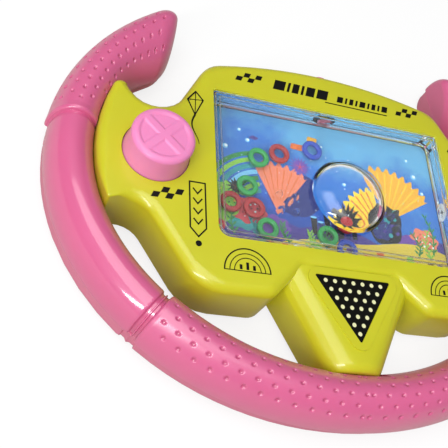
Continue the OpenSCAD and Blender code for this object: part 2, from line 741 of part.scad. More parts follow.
// Bellows under each button, with its nozzle to the tank
bulb_z = cover_top;
bulb_top = flange_z - soft_gap;
bulb_r = 8.6;
fold_depth = 1.5;
folds = 4;
module bulb() {
    step = (bulb_top - bulb_z) / folds;
    color([0.93, 0.93, 0.90]) placed() translate([button_c[0], button_c[1], 0]) rotate_extrude()
        polygon(concat(
            [[0, bulb_z], [bulb_r - fold_depth, bulb_z]],
            [for (k = [0:folds - 1]) each [[bulb_r, bulb_z + (k + 0.5) * step],
                [bulb_r - fold_depth, bulb_z + (k + 1) * step]]],
            [[0, bulb_top]]
        ));
}
module bulb_left() {
    bulb();
}
module bulb_right() {
    mirror([1, 0, 0]) bulb();
}
module nozzle() {
    wall_x = window_w / 2 + tank_lip;
    l = -button_c[0] - bulb_r - soft_gap - wall_x;
    color([0.93, 0.93, 0.90]) placed() translate([-wall_x - l, button_c[1], jet_z]) rotate([0, 90, 0])
        difference() {
            union() {
                cylinder(d = jet_d, h = l);
                translate([0, 0, l - flange_t]) cylinder(d = jet_d + jet_collar, h = flange_t);
            }
            translate([0, 0, -1]) cylinder(d = jet_bore, h = l + 2);
        }
}
module nozzle_left() {
    nozzle();
}
module nozzle_right() {
    mirror([1, 0, 0]) nozzle();
}

module casing_screws() {
    color([0.75, 0.75, 0.77]) placed() at_casing_screws() translate([0, 0, cover_z]) screw();
}
module rim_screws() {
    color([0.75, 0.75, 0.77]) placed() at_rim_screws() screw();
}

// Where the loose rings lie on the tank's floor: distances from the window's left and lower edges
ring_at = [
    [18.9, 37.1], [14.1, 24.9], [20.6, 9.6], [43, 9.9], [27.1, 40.4],
    [7.8, 17.7], [16.1, 16.6], [50.8, 16], [40.5, 44.5], [50, 5.6]
];
module ring(i, tone) {
    corner = [-window_w / 2, -window_y - window_h / 2] + ring_at[i];
    color(tone) placed() translate([corner[0], corner[1], tank_floor + ring_gap + ring_t / 2])
        rotate_extrude() translate([(ring_d - ring_w) / 2, 0]) rounded_rect(ring_w, ring_t, ring_edge);
}
green = [0.16, 0.55, 0.30];
dark_red = [0.62, 0.12, 0.16];
navy = [0.12, 0.16, 0.40];
module ring_green_1() {
    ring(0, green);
}
module ring_green_2() {
    ring(1, green);
}
module ring_green_3() {
    ring(2, green);
}
module ring_green_4() {
    ring(3, green);
}
module ring_red_1() {
    ring(4, dark_red);
}
module ring_red_2() {
    ring(5, dark_red);
}
module ring_red_3() {
    ring(6, dark_red);
}
module ring_red_4() {
    ring(7, dark_red);
}
module ring_navy_1() {
    ring(8, navy);
}
module ring_navy_2() {
    ring(9, navy);
}

front_casing();
rim_front();
back_shell();
spoke_panel();
tank_front();
tank_back();
picture_card();
peg_cluster_left();
peg_cluster_right();
fill_plug();
button_left();
button_right();
bulb_left();
bulb_right();
nozzle_left();
nozzle_right();
casing_screws();
rim_screws();
ring_green_1();
ring_green_2();
ring_green_3();
ring_green_4();
ring_red_1();
ring_red_2();
ring_red_3();
ring_red_4();
ring_navy_1();
ring_navy_2();
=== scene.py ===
"""Looks of the handheld water game: materials, moulded details, print, lamps and camera.

Lengths in the helpers are millimetres in the wheel's own frame, as in the part's source. The oval's centre
lies ORIGIN_Y in front of the row's origin, and to_row() turns such points into metres in the row's frame.
"""
import math
import bpy
import numpy as np
from mathutils import Matrix, Vector


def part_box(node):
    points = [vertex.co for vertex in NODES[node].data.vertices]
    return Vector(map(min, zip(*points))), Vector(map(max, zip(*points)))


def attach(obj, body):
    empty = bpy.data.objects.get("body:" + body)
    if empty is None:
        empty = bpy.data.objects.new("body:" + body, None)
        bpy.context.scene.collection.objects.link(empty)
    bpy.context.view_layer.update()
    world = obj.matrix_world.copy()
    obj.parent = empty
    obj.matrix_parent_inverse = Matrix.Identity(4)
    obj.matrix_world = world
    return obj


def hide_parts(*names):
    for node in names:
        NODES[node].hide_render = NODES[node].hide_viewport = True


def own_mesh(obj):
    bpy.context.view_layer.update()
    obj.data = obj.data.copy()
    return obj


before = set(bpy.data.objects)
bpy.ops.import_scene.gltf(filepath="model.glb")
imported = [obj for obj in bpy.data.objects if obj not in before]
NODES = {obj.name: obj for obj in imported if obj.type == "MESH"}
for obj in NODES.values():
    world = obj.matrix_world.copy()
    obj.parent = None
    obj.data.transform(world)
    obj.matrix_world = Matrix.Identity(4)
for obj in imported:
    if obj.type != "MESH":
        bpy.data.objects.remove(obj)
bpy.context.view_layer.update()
ORIGIN_Y = 9.12337

# Sizes repeated from the part's source
FACE_Z = 21.2
RIM_A = 8.4
LINE_A = 91.375
RATIO = 0.822
PARTING_Z = 8.0
CROWN_H = 13.325
GRIP_RISE = 0.45
LIP_RISE = 0.675
NECK_DROP = 1.3
END_X = 57.5
END_FLARE = 4.4
END_ROUND = 7.092
END_INNER = 0.35
END_TOP = 0.6
END_SKEW = 1.07
FLARE_FROM = 157.0
SHEAR_FROM = 165.0
WING_LAP = 1.75
WING_R = 58.0434
WING_X = -26.6816
SEAT_TOP = 25.8635
SEAT_LOW = 21.8058
SEAM_GAP = 0.15
SPOKE_Y = 68.21
SPOKE_SEAT_HALF = 11.6
WINDOW_W = 91.85
WINDOW_H = 57.0
WINDOW_Y = 0.6
TANK_GAP = 0.3
CARD_Z = 6.4
TANK_FLOOR = 8.4
TANK_TOP = 19.0
FRONT_Z = 20.6
PEG_X = 20.0
PEG_Y = 9.2
PEG_H = 8.4
PEG_R = 1.3
PEG_SHIFT = -0.8
PEG_TIP = 0.4
DOME_X = 3.0
DOME_Y = -6.4
DOME_R = 12.5
DOME_H = 4.6
BUTTON_C = (-66.025, -2.3)
BUTTON_R = 10.2
BUTTON_FOOT = 10.8
BUTTON_TOP = 30.8
BUTTON_EDGE = 1.6
FLANGE_Z = 17.6
FLANGE_T = 1.5
FLANGE_W = 1.6
BULB_R = 8.6
FOLDS = 4
FOLD_DEEP = 1.5
SPOKE_Z = 20.2
PANEL_TOP = -37.7

# Places of the rim's lip and neck, in degrees round the oval; the source has other values for these
LIP_ANGLE = 173.9
NECK_ANGLE = 225.1
NECK_HALF = 0.83
NECK_RIDGE = 0.22

# Sizes of what only this script has: the caps' crown and cross, the tank's bead, the water and the print
CAP_CROWN = 0.12
CROSS_RIM = 2.0
CROSS_HALF = 0.95
CROSS_SLOPE = 0.85
CROSS_DEEP = 0.42
UPPER_CORNER = 1.2
LOWER_CORNER = 3.4
WATER_GAP = 0.15
SHEET_T = 0.2


# Meshes

def to_row(points):
    """Points in millimetres in the wheel's frame, as metres in the row's frame."""
    p = np.asarray(points, dtype=float).reshape(-1, 3).copy()
    p[:, 1] += ORIGIN_Y
    return p / 1000.0


def mesh_piece(name, points, faces, materials, body, tones=None, smooth=True):
    """Piece made of points in millimetres; tones gives each face's material."""
    mesh = bpy.data.meshes.new(name)
    mesh.from_pydata(to_row(points).tolist(), [], [tuple(int(i) for i in f) for f in faces])
    mesh.validate()
    mesh.update()
    piece = bpy.data.objects.new(name, mesh)
    bpy.context.scene.collection.objects.link(piece)
    for material in materials:
        mesh.materials.append(material)
    if tones is not None:
        mesh.polygons.foreach_set("material_index", [int(t) for t in tones])
    mesh.polygons.foreach_set("use_smooth", [smooth] * len(mesh.polygons))
    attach(piece, body)
    return piece


def split_edges(piece, degrees):
    """Keeps edges sharp where faces meet at more than the given angle."""
    crease = piece.modifiers.new("crease", "EDGE_SPLIT")
    crease.split_angle = math.radians(degrees)


def grid_faces(rows, cols, close=False):
    """Faces of a grid of points, rows by cols, closed round its columns if asked."""
    faces = []
    last = cols if close else cols - 1
    for i in range(rows - 1):
        for j in range(last):
            k = (j + 1) % cols
            faces.append((i * cols + j, i * cols + k, (i + 1) * cols + k, (i + 1) * cols + j))
    return faces


def plate(outline, low, high):
    """Points and faces of a flat plate with the given outline, between two heights."""
    n = len(outline)
    pairs = zip(outline, outline[1:] + outline[:1])
    area = sum(here[0] * there[1] - there[0] * here[1] for here, there in pairs)
    if area < 0:
        outline = outline[::-1]
    points = [(x, y, low) for x, y in outline] + [(x, y, high) for x, y in outline]
    faces = [tuple(range(n - 1, -1, -1)), tuple(range(n, 2 * n))]
    faces += [(i, (i + 1) % n, n + (i + 1) % n, n + i) for i in range(n)]
    return points, faces


class Plates:
    """Collects plates with their own materials into one piece."""

    def __init__(self):
        self.points = []
        self.faces = []
        self.tones = []

    def add(self, outline, low, high, tone=0):
        points, faces = plate(outline, low, high)
        base = len(self.points)
        self.points += points
        self.faces += [tuple(base + i for i in f) for f in faces]
        self.tones += [tone] * len(faces)

    def stroke(self, line, width, low, high, tone=0, closed=False):
        """A line of even or changing width: one plate a segment, with mitred joints."""
        n = len(line)
        widths = width if isinstance(width, (list, tuple)) else [width] * n
        left = []
        right = []
        for i in range(n):
            before = line[(i - 1) % n] if closed or i > 0 else line[i]
            after = line[(i + 1) % n] if closed or i < n - 1 else line[i]
            d1 = unit(line[i][0] - before[0], line[i][1] - before[1])
            d2 = unit(after[0] - line[i][0], after[1] - line[i][1])
            if d1 == (0.0, 0.0):
                d1 = d2
            if d2 == (0.0, 0.0):
                d2 = d1
            nx, ny = unit(-(d1[1] + d2[1]), d1[0] + d2[0])
            stretch = 1 / max(0.5, nx * -d1[1] + ny * d1[0])
            h = widths[i] / 2 * stretch
            left.append((line[i][0] + nx * h, line[i][1] + ny * h))
            right.append((line[i][0] - nx * h, line[i][1] - ny * h))
        for i in range(n if closed else n - 1):
            k = (i + 1) % n
            self.add([right[i], right[k], left[k], left[i]], low, high, tone)

    def piece(self, name, materials, body, slot=None):
        return mesh_piece(name, self.points, self.faces, materials, body, self.tones, smooth=False)


def unit(x, y):
    n = math.hypot(x, y)
    return (x / n, y / n) if n > 1e-9 else (0.0, 0.0)


def circle(x, y, r, steps=28, squeeze=1.0):
    turn = [2 * math.pi * i / steps for i in range(steps)]
    return [(x + r * math.cos(a), y + r * squeeze * math.sin(a)) for a in turn]


def arc(x, y, r, a0, a1, steps=16):
    turn = [math.radians(a0 + (a1 - a0) * i / steps) for i in range(steps + 1)]
    return [(x + r * math.cos(a), y + r * math.sin(a)) for a in turn]


# Materials

def srgb(r, g, b):
    """Colour of 0 to 255 as a linear colour."""
    out = []
    for v in (r, g, b):
        c = v / 255.0
        out.append(c / 12.92 if c <= 0.04045 else ((c + 0.055) / 1.055) ** 2.4)
    return tuple(out) + (1.0,)


def shaded(color, factor):
    return tuple(min(1.0, c * factor) for c in color[:3]) + (1.0,)


def new_material(name):
    material = bpy.data.materials.new(name)
    material.use_nodes = True
    tree = material.node_tree
    return material, tree, tree.nodes["Principled BSDF"]


def noise(tree, scale, detail=3.0, rough=0.5):
    place = tree.nodes.new("ShaderNodeTexCoord")
    node = tree.nodes.new("ShaderNodeTexNoise")
    node.inputs["Scale"].default_value = scale
    node.inputs["Detail"].default_value = detail
    node.inputs["Roughness"].default_value = rough
    tree.links.new(place.outputs["Object"], node.inputs["Vector"])
    return node


def ramp(tree, source, stops):
    node = tree.nodes.new("ShaderNodeValToRGB")
    marks = node.color_ramp.elements
    marks[0].position = stops[0][0]
    marks[0].color = stops[0][1]
    marks[1].position = stops[-1][0]
    marks[1].color = stops[-1][1]
    for place, color in stops[1:-1]:
        marks.new(place).color = color
    tree.links.new(source, node.inputs["Fac"])
    return node


def span(tree, source, low, high, from_low=0.3, from_high=0.7):
    node = tree.nodes.new("ShaderNodeMapRange")
    node.inputs["From Min"].default_value = from_low
    node.inputs["From Max"].default_value = from_high
    node.inputs["To Min"].default_value = low
    node.inputs["To Max"].default_value = high
    tree.links.new(source, node.inputs["Value"])
    return node


def combine(tree, operation, *terms):
    """Arithmetic node; each term is another node's output or a number."""
    node = tree.nodes.new("ShaderNodeMath")
    node.operation = operation
    for i, term in enumerate(terms):
        if isinstance(term, (int, float)):
            node.inputs[i].default_value = term
        else:
            tree.links.new(term, node.inputs[i])
    return node.outputs["Value"]


def bump(tree, shader, source, strength, distance, under=None):
    node = tree.nodes.new("ShaderNodeBump")
    node.inputs["Strength"].default_value = strength
    node.inputs["Distance"].default_value = distance
    tree.links.new(source, node.inputs["Height"])
    if under is not None:
        tree.links.new(under.outputs["Normal"], node.inputs["Normal"])
    tree.links.new(node.outputs["Normal"], shader.inputs["Normal"])
    return node


def plastic(name, color, rough=0.32, drift=0.04, grain=0.05, soft=0.0, coat=0.0, waves=0.12):
    """Moulded plastic: cloudy colour, fine grain, faint sink marks and a roughness that wanders."""
    material, tree, shader = new_material(name)
    clouds = noise(tree, 38.0, 4.0)
    tint = ramp(tree, clouds.outputs["Fac"], [
        (0.32, shaded(color, 1 - drift)),
        (0.5, color),
        (0.68, shaded(color, 1 + drift)),
    ])
    tree.links.new(tint.outputs["Color"], shader.inputs["Base Color"])
    smear = noise(tree, 210.0, 5.0, 0.62)
    wander = span(tree, smear.outputs["Fac"], rough - 0.05, rough + 0.07)
    tree.links.new(wander.outputs["Result"], shader.inputs["Roughness"])
    sinks = noise(tree, 70.0, 1.0)
    first = bump(tree, shader, sinks.outputs["Fac"], waves, 0.0006)
    fine = noise(tree, 4200.0, 2.0)
    bump(tree, shader, fine.outputs["Fac"], grain, 0.00004, first)
    shader.inputs["IOR"].default_value = 1.5
    shader.inputs["Coat Weight"].default_value = coat
    shader.inputs["Coat Roughness"].default_value = 0.12
    shader.inputs["Subsurface Weight"].default_value = soft
    shader.inputs["Subsurface Radius"].default_value = (1.0, 0.45, 0.35)
    shader.inputs["Subsurface Scale"].default_value = 0.003
    return material


def paint_hollow_shade_and_gloss(material, hollow_shade):
    """Painted shade in the hollows, where the base colour darkens with the mesh's depth value, and two kinds
    of gloss.

    The gloss is sharp where the mesh's grip value is 0 and broad where it is 1.
    """
    tree = material.node_tree
    shader = tree.nodes["Principled BSDF"]
    tint = shader.inputs["Base Color"].links[0].from_socket
    deep = tree.nodes.new("ShaderNodeAttribute")
    deep.attribute_name = "depth"
    mix = tree.nodes.new("ShaderNodeMix")
    mix.data_type = "RGBA"
    mix.inputs["B"].default_value = hollow_shade
    share = span(tree, deep.outputs["Fac"], 0.0, 0.75, 0.0, 1.0)
    tree.links.new(share.outputs["Result"], mix.inputs["Factor"])
    tree.links.new(tint, mix.inputs["A"])
    tree.links.new(mix.outputs["Result"], shader.inputs["Base Color"])
    grip = tree.nodes.new("ShaderNodeAttribute")
    grip.attribute_name = "grip"
    gloss = span(tree, grip.outputs["Fac"], 0.1, 0.3, 0.0, 1.0)
    shader.inputs["Coat IOR"].default_value = 1.62
    tree.links.new(gloss.outputs["Result"], shader.inputs["Coat Roughness"])


def clear(name, tint, rough=0.015, ior=1.46, ripples=0.1):
    """Clear moulded plastic that lets light through its shadow and has faint flow ripples."""
    material, tree, shader = new_material(name)
    shader.inputs["Specular IOR Level"].default_value = 0.25
    shader.inputs["Base Color"].default_value = tint
    shader.inputs["Transmission Weight"].default_value = 1.0
    shader.inputs["IOR"].default_value = ior
    flow = noise(tree, 60.0, 2.0)
    dust = noise(tree, 900.0, 4.0, 0.7)
    film = span(tree, dust.outputs["Fac"], rough, rough + 0.03)
    tree.links.new(film.outputs["Result"], shader.inputs["Roughness"])
    bump(tree, shader, flow.outputs["Fac"], ripples, 0.0002)
    out = tree.nodes["Material Output"]
    path = tree.nodes.new("ShaderNodeLightPath")
    through = tree.nodes.new("ShaderNodeBsdfTransparent")
    through.inputs["Color"].default_value = (0.93, 0.95, 0.96, 1.0)
    mix = tree.nodes.new("ShaderNodeMixShader")
    tree.links.new(path.outputs["Is Shadow Ray"], mix.inputs["Fac"])
    tree.links.new(shader.outputs["BSDF"], mix.inputs[1])
    tree.links.new(through.outputs["BSDF"], mix.inputs[2])
    tree.links.new(mix.outputs["Shader"], out.inputs["Surface"])
    return material


def ink(name, color, rough=0.4, speck=0.08, shine=0.5):
    """Printed ink: even colour with a fine dry speckle."""
    material, tree, shader = new_material(name)
    dots = noise(tree, 2600.0, 2.0)
    tint = ramp(tree, dots.outputs["Fac"], [
        (0.35, shaded(color, 1 - speck)),
        (0.65, shaded(color, 1 + speck)),
    ])
    tree.links.new(tint.outputs["Color"], shader.inputs["Base Color"])
    wander = span(tree, dots.outputs["Fac"], rough - 0.06, rough + 0.08)
    tree.links.new(wander.outputs["Result"], shader.inputs["Roughness"])
    shader.inputs["Specular IOR Level"].default_value = shine
    return material


def water_print(name):
    """Printed water: bands of blue that drift from deep to light, with brighter streaks."""
    material, tree, shader = new_material(name)
    place = tree.nodes.new("ShaderNodeTexCoord")
    split = tree.nodes.new("ShaderNodeSeparateXYZ")
    tree.links.new(place.outputs["Object"], split.inputs["Vector"])
    drift = noise(tree, 45.0, 5.0, 0.6)
    height = span(tree, split.outputs["Y"], 0.0, 1.0, -0.021, 0.036)
    lean = span(tree, split.outputs["X"], -0.16, 0.16, -0.046, 0.046)
    sway = span(tree, drift.outputs["Fac"], -0.22, 0.22)
    slope = combine(tree, "ADD", height.outputs["Result"], lean.outputs["Result"])
    tint = ramp(tree, combine(tree, "ADD", slope, sway.outputs["Result"]), [
        (0.05, srgb(20, 64, 150)),
        (0.3, srgb(22, 80, 176)),
        (0.52, srgb(36, 110, 190)),
        (0.72, srgb(40, 112, 196)),
        (0.95, srgb(96, 168, 210)),
    ])
    tree.links.new(tint.outputs["Color"], shader.inputs["Base Color"])
    shader.inputs["Roughness"].default_value = 0.5
    return material


def steel(name):
    """Plain screw steel with turned marks."""
    material, tree, shader = new_material(name)
    shader.inputs["Metallic"].default_value = 1.0
    marks = noise(tree, 1500.0, 3.0)
    tint = ramp(tree, marks.outputs["Fac"], [(0.3, srgb(150, 150, 154)), (0.7, srgb(196, 196, 198))])
    tree.links.new(tint.outputs["Color"], shader.inputs["Base Color"])
    wander = span(tree, marks.outputs["Fac"], 0.25, 0.42)
    tree.links.new(wander.outputs["Result"], shader.inputs["Roughness"])
    bump(tree, shader, marks.outputs["Fac"], 0.2, 0.00005)
    return material


yellow = plastic("casing_yellow", srgb(199, 197, 32), rough=0.34, drift=0.03, soft=0.08, coat=0.5)
pink = plastic("rim_pink", srgb(214, 95, 143), rough=0.4, drift=0.03, soft=0.08, coat=1.0)
# Painted shade: the pits and the neck's groove get a darker pink, as if shaded
paint_hollow_shade_and_gloss(pink, srgb(188, 71, 114))
# Painted light: the back shell is the rim's pink made paler, standing in for light bounced from the white
# floor
bounce_lit_pink = plastic("tray_pink_bounce_lit", srgb(214, 120, 150), rough=0.42, drift=0.04, soft=0.05)
light_pink = plastic("button_pink", srgb(234, 137, 189), rough=0.33, drift=0.025, soft=0.15)
plug_pink = plastic("plug_rubber", srgb(228, 110, 158), rough=0.55, drift=0.04)
bellows = plastic("bellows_rubber", srgb(222, 220, 212), rough=0.6, drift=0.04)
nozzle_white = plastic("nozzle_white", srgb(228, 228, 222), rough=0.45, drift=0.03)
green = plastic("ring_green", srgb(36, 152, 72), rough=0.25, drift=0.05, soft=0.05)
dark_red = plastic("ring_red", srgb(165, 32, 36), rough=0.25, drift=0.05, soft=0.05)
navy = plastic("ring_navy", srgb(30, 66, 170), rough=0.25, drift=0.05, soft=0.05)
clear_front = clear("clear_plastic", (0.97, 0.985, 0.99, 1.0))
clear_back = clear("clear_back", (0.97, 0.985, 0.99, 1.0), ior=1.08)
clear_peg = clear("clear_pegs", (0.90, 0.96, 0.97, 1.0), rough=0.01, ior=1.12)
clear_wet = clear("clear_plastic_wet", (0.97, 0.985, 0.99, 1.0), ior=1.1)
water_body = clear("water", (0.94, 0.98, 0.995, 1.0), rough=0.0, ior=1.33, ripples=0.06)
black_ink = ink("black_ink", srgb(14, 14, 13), rough=0.55, shine=0.2)
panel_ink = ink("panel_ink", srgb(13, 13, 10), rough=0.55, shine=0.12)
white_ink = ink("white_ink", srgb(232, 232, 218), speck=0.03)
cream_ink = ink("cream_ink", srgb(226, 226, 176), speck=0.05)
screw_steel = steel("screw_steel")

FINISH = {
    "front_casing": yellow,
    "rim_front": pink,
    "back_shell": bounce_lit_pink,
    "spoke_panel": panel_ink,
    "tank_front": clear_front,
    "tank_back": clear_back,
    "picture_card": white_ink,
    "peg_cluster_left": clear_peg,
    "peg_cluster_right": clear_peg,
    "fill_plug": plug_pink,
    "button_left": light_pink,
    "button_right": light_pink,
    "bulb_left": bellows,
    "bulb_right": bellows,
    "nozzle_left": nozzle_white,
    "nozzle_right": nozzle_white,
    "casing_screws": screw_steel,
    "rim_screws": screw_steel,
}
for node_name, cad_node in NODES.items():
    finish = FINISH.get(node_name)
    if finish is None:
        finish = green if "green" in node_name else dark_red if "red" in node_name else navy
    if not cad_node.data.materials:
        cad_node.data.materials.append(finish)
    for place in cad_node.material_slots:
        place.material = finish
    if "custom_normal" in cad_node.data.attributes:
        cad_node.data.attributes.remove(cad_node.data.attributes["custom_normal"])
    cad_node.data.polygons.foreach_set("use_smooth", [True] * len(cad_node.data.polygons))
    weld = cad_node.modifiers.new("weld", "WELD")
    weld.merge_threshold = 0.000002
    split_edges(cad_node, 34)
    level = cad_node.modifiers.new("level", "WEIGHTED_NORMAL")
    level.mode = "FACE_AREA"
    level.weight = 50


# The tank's side walls are wet inside: against water the plastic bends light less than against air
tank = NODES["tank_front"].data
tank.materials.append(clear_wet)
for face in tank.polygons:
    x, y, z = (1000 * v for v in face.center)
    beside = abs(x) < WINDOW_W / 2 + 0.4 and abs(y - ORIGIN_Y + WINDOW_Y) < WINDOW_H / 2 + 0.4
    if beside and z < TANK_TOP and abs(face.normal.z) < 0.5:
        face.material_index = len(tank.materials) - 1


# Rim: the source's front shell swept in finer steps, with the grips' pits and its own lip and neck

def smooth01(t):
    c = np.clip(t, 0.0, 1.0)
    return c * c * (3 - 2 * c)


def line_point(t):
    a = math.radians(t)
    return np.array([LINE_A * math.cos(a), LINE_A * RATIO * math.sin(a)])


def line_normal(t):
    a = math.radians(t)
    n = np.array([RATIO * math.cos(a), math.sin(a)])
    return n / np.linalg.norm(n)


def end_angle(u):
    return 180.0 - np.degrees(np.arccos(END_X / (LINE_A + END_SKEW * u)))


END_MID = float(end_angle(0.0))
END_SLOPE = LINE_A * math.sin(math.radians(END_MID)) * math.pi / 180
SPOKE_FROM = 270.0 - math.degrees(math.asin(SPOKE_SEAT_HALF / LINE_A))


def seat_limit(t):
    """Least distance inside the centre line that leaves room for a wing or for the spoke."""
    p = line_point(t)
    n = line_normal(t)
    y = p[1] - n[1] * (RIM_A - WING_LAP)
    if t > SPOKE_FROM:
        return (-SPOKE_Y - SEAM_GAP - p[1]) / n[1]
    if -SEAT_LOW < y < SEAT_TOP:
        q = p - np.array([WING_X, 0.0])
        b = q @ n
        r = WING_R + SEAM_GAP
        return -b + math.sqrt(max(0.0, b * b - q @ q + r * r))
    return -100.0


def rim_rise(t):
    """How far the section stands out at an angle: grips, lip, smooth stretch and neck."""
    lip = LIP_ANGLE
    above = NECK_ANGLE - NECK_HALF
    below = NECK_ANGLE + NECK_HALF
    marks = [
        (100.0, GRIP_RISE),
        (lip - 2.2, GRIP_RISE), (lip - 1.5, GRIP_RISE * 1.2), (lip - 0.8, LIP_RISE),
        (lip - 0.3, GRIP_RISE * 1.2), (lip - 0.05, GRIP_RISE * 0.4), (lip + 0.1, -GRIP_RISE * 1.7),
        (lip + 0.5, -GRIP_RISE * 1.7), (lip + 1.4, -GRIP_RISE),
        (above - 0.7, -GRIP_RISE), (above - 0.3, -GRIP_RISE * 1.3), (above - 0.05, -NECK_DROP * 0.85),
        (above + 0.1, -NECK_DROP),
        (NECK_ANGLE - NECK_RIDGE, -NECK_DROP), (NECK_ANGLE - NECK_RIDGE * 0.5, -NECK_DROP * 0.55),
        (NECK_ANGLE + NECK_RIDGE * 0.5, -NECK_DROP * 0.55), (NECK_ANGLE + NECK_RIDGE, -NECK_DROP),
        (below - 0.1, -NECK_DROP), (below + 0.02, -NECK_DROP * 0.7), (below + 0.12, -0.1),
        (below + 0.35, GRIP_RISE * 0.55), (below + 0.9, GRIP_RISE * 0.95), (below + 1.3, GRIP_RISE),
        (300.0, GRIP_RISE),
    ]
    return float(np.interp(t, [m[0] for m in marks], [m[1] for m in marks]))


GRIP_FROM = NECK_ANGLE + NECK_HALF

# Rows of pits on the grips: angle round the section from the outer side, and shift along the row
PIT_PITCH = 3.3
PIT_ROWS = ((23.0, 0.11), (45.0, 0.61), (65.5, 0.11), (86.0, 0.61), (107.0, 0.11), (129.0, 0.61))
PIT_R = 0.9
PIT_DEEP = 0.5
PIT_LIP = 0.07
PITS_FROM_END = 4.2
PITS_FROM_LIP = 3.4
PITS_FROM_NECK = 1.6
RIM_STEPS = 140


def pit_depth(t, c, radius):
    """Depth of the pits at an angle round the oval and at the angles c round the section."""
    deep = np.zeros(len(c))
    low = t > GRIP_FROM + PITS_FROM_NECK
    high = END_MID + PITS_FROM_END < t < LIP_ANGLE - PITS_FROM_LIP
    if not (low or high):
        return deep
    local = LINE_A * math.hypot(math.sin(math.radians(t)), RATIO * math.cos(math.radians(t))) * math.pi / 180
    for angle, shift in PIT_ROWS:
        # no pits on the inner side near the lip, nor in the outermost row of the lower grips
        if (high and t > 164 and angle > 120) or (low and angle < 30):
            continue
        k = round(t / PIT_PITCH - shift)
        along = (t - (k + shift) * PIT_PITCH) * local
        d = np.hypot(np.radians(c - angle) * radius, along) / PIT_R
        deep = np.maximum(deep, PIT_DEEP * (1 - smooth01((d - 0.4) / 0.6)))
        deep -= PIT_LIP * smooth01(1 - np.abs(d - 1.15) / 0.2)
    return deep


def rim_angles():
    """Angles of the rim's rings, dense where the form changes."""
    marks = set()
    for low, high, step in ((END_MID, LIP_ANGLE, 0.17), (LIP_ANGLE, NECK_ANGLE, 0.4),
                            (NECK_ANGLE, 270.001, 0.17), (LIP_ANGLE - 2.4, LIP_ANGLE + 2.4, 0.06),
                            (NECK_ANGLE - NECK_HALF - 0.9, NECK_ANGLE + NECK_HALF + 1.4, 0.06)):
        for t in np.arange(low, high, step):
            marks.add(round(float(t), 3))
    for a in range(0, 91, 6):
        marks.add(round(END_MID + END_ROUND * (1 - math.sin(math.radians(a))) / END_SLOPE, 4))
    marks.update((270.0, SPOKE_FROM - 0.02, SPOKE_FROM + 0.02))
    for low, high in ((130.0, 180.0), (180.0, 230.0)):
        # the seat under a wing ends between these two angles
        taken = seat_limit(high) > -100.0
        for _ in range(24):
            middle = (low + high) / 2
            if (seat_limit(middle) > -100.0) == taken:
                high = middle
            else:
                low = middle
        marks.update((low - 0.02, high + 0.02))
    return sorted(marks, reverse=True)


def rim_ring(t):
    """Front shell's section at an angle, from its outer side inwards: each point's place, its share of
    painted shade in pits and groove, and grip.
    """
    rise = rim_rise(t)
    reach = (t - END_MID) * END_SLOPE / END_ROUND
    inset = END_ROUND * (1 - math.sqrt(max(0.0, 1 - (1 - min(1.0, max(0.0, reach))) ** 2)))
    c = np.linspace(0.0, 180.0, RIM_STEPS + 1)
    a = np.where(c <= 90.0, RIM_A + rise - inset, RIM_A + rise - inset * END_INNER)
    h = CROWN_H + rise - inset * END_TOP
    deep = pit_depth(t, c, (RIM_A + h) / 2)
    u = (a - deep) * np.cos(np.radians(c))
    z = PARTING_Z + (h - deep) * np.sin(np.radians(c))
    flare = END_FLARE * float(smooth01((FLARE_FROM - t) / (FLARE_FROM - END_MID)))
    u = np.where(u < 0, np.maximum(seat_limit(t), u * (1 + flare / RIM_A)), u)
    shear = float(smooth01((SHEAR_FROM - t) / (SHEAR_FROM - END_MID)))
    turned = np.radians(t + shear * (end_angle(u) - END_MID))
    normal = np.array([RATIO * np.cos(turned), np.sin(turned)])
    normal /= np.linalg.norm(normal, axis=0)
    x = LINE_A * np.cos(turned) + normal[0] * u
    y = LINE_A * RATIO * np.sin(turned) + normal[1] * u
    if t < FLARE_FROM:
        x = np.minimum(x, -END_X)
    # The depth value sets painted shade: full at the pits' bottoms, and partly in the neck's groove
    groove = max(0.0, -rise - GRIP_RISE) / (NECK_DROP - GRIP_RISE)
    deep = np.clip(deep / PIT_DEEP, 0, 1) + 0.6 * groove
    grip = 1.0 if t < LIP_ANGLE or t > GRIP_FROM else 0.0
    return np.stack([x, y, z, deep, np.full(len(x), grip)], axis=1)


half_rim = [rim_ring(t) for t in rim_angles()]
rings = [ring * (-1, 1, 1, 1, 1) for ring in half_rim[:0:-1]] + half_rim
width = RIM_STEPS + 1
rim_points = np.concatenate(rings)
rim_faces = [f[::-1] for f in grid_faces(len(rings), width)]
for i in range(len(rings) - 1):
    rim_faces.append((i * width, (i + 1) * width, (i + 2) * width - 1, (i + 1) * width - 1))
rim_faces.append(tuple(range(width)))
rim_faces.append(tuple((len(rings) - 1) * width + k for k in range(width - 1, -1, -1)))
rim = mesh_piece("rim_shell", rim_points[:, :3], rim_faces, [pink], "base")
# The depth layer carries the painted shade of pits and groove; the grip layer sets the kind of gloss
for column, name in ((3, "depth"), (4, "grip")):
    layer = rim.data.attributes.new(name, "FLOAT", "POINT")
    layer.data.foreach_set("value", rim_points[:, column])
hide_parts("rim_front")
split_edges(rim, 50)


# Buttons: caps with a raised rim and a raised diagonal cross between four shallow hollows

def cap_height(x, y):
    """Height of a cap's top at a place, measured from the cap's middle."""
    r = math.hypot(x, y)
    across = (max(abs(x), abs(y)) - min(abs(x), abs(y))) / math.sqrt(2)
    inside = min(BUTTON_R - CROSS_RIM - r, across - CROSS_HALF)
    return BUTTON_TOP - CROSS_DEEP * float(smooth01(inside / CROSS_SLOPE)) - CAP_CROWN * (r / BUTTON_R) ** 2


